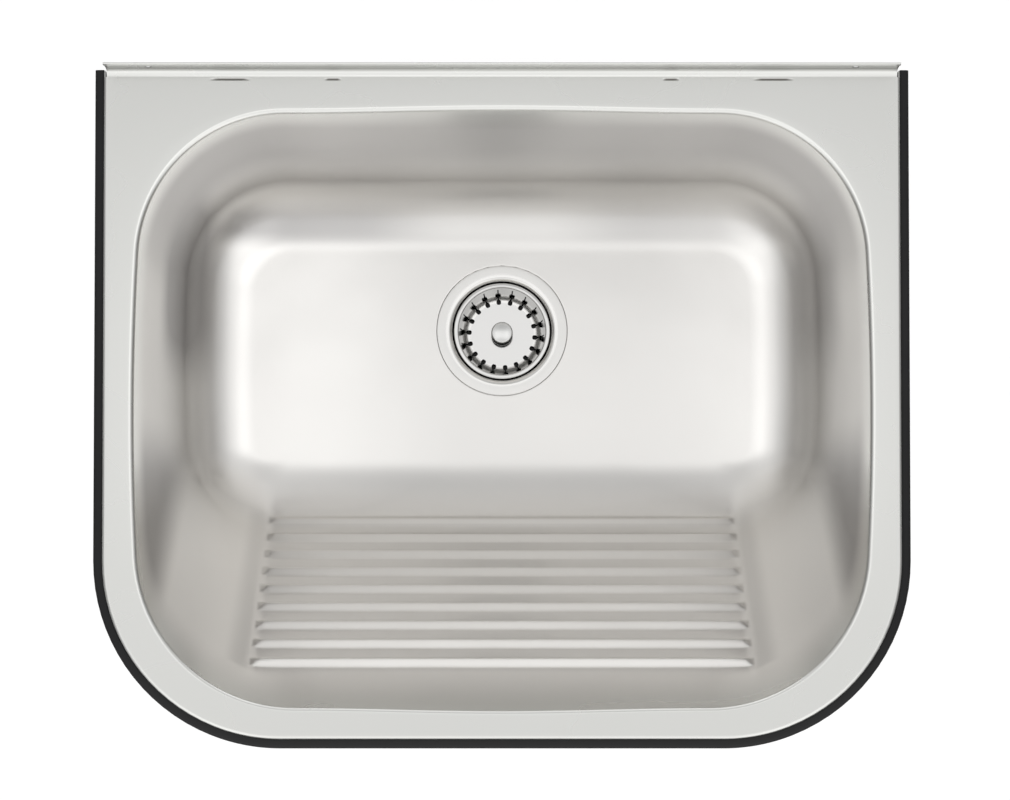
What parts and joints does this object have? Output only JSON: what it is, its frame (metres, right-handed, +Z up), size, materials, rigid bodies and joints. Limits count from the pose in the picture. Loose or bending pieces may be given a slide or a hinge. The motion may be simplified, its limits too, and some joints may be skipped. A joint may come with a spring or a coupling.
{
  "type": "wall-mounted utility sink",
  "caption": "Deep stainless steel laundry tank with a washboard on its sloping front, a rubber edge trim, a rear upstand for wall screws and a lift-out basket strainer.",
  "frame": {"origin": "on the wall, midway between the two screw holes of the upstand", "axes": "+X to the user's right along the wall, +Y into the wall, +Z up"},
  "size_m": [0.6, 0.5, 0.444],
  "materials": {
    "sink_steel": "satin, deep-drawn stainless sheet",
    "trim_rubber": "matte black",
    "bracket_steel": "mill finish",
    "strainer_steel": "polished stainless sheet",
    "knob_steel": "turned and polished",
    "seal_rubber": "matte black",
    "slip_plastic": "matte off-white",
    "nut_plastic": "moulded, light grey",
    "tail_chrome": "plated"
  },
  "bodies": {
    "sink": {"sink_pressing": "sink_steel", "edge_trim": "trim_rubber", "hanger_bracket_left": "bracket_steel", "hanger_bracket_right": "bracket_steel", "strainer_body": "strainer_steel", "flange_seal": "seal_rubber", "under_gasket": "seal_rubber", "slip_ring": "slip_plastic", "lock_nut": "nut_plastic", "outlet_gasket": "seal_rubber", "tailpiece": "tail_chrome", "coupling_nut": "tail_chrome"},
    "stopper": {"stopper": "seal_rubber", "stopper_washer": "knob_steel"},
    "basket": {"strainer_basket": "strainer_steel", "basket_knob": "knob_steel", "basket_pin": "knob_steel", "pin_nut": "knob_steel"}
  },
  "joints": [
    {"name": "basket_lift", "type": "slide", "parent": "sink", "child": "stopper", "axis": [0, 0, 1], "range_m": [0, 0.345]},
    {"name": "basket_turn", "type": "hinge", "parent": "stopper", "child": "basket", "pos_m": [0, -0.1645, -0.31], "axis": [0, 0, 1], "continuous": true}
  ]
}
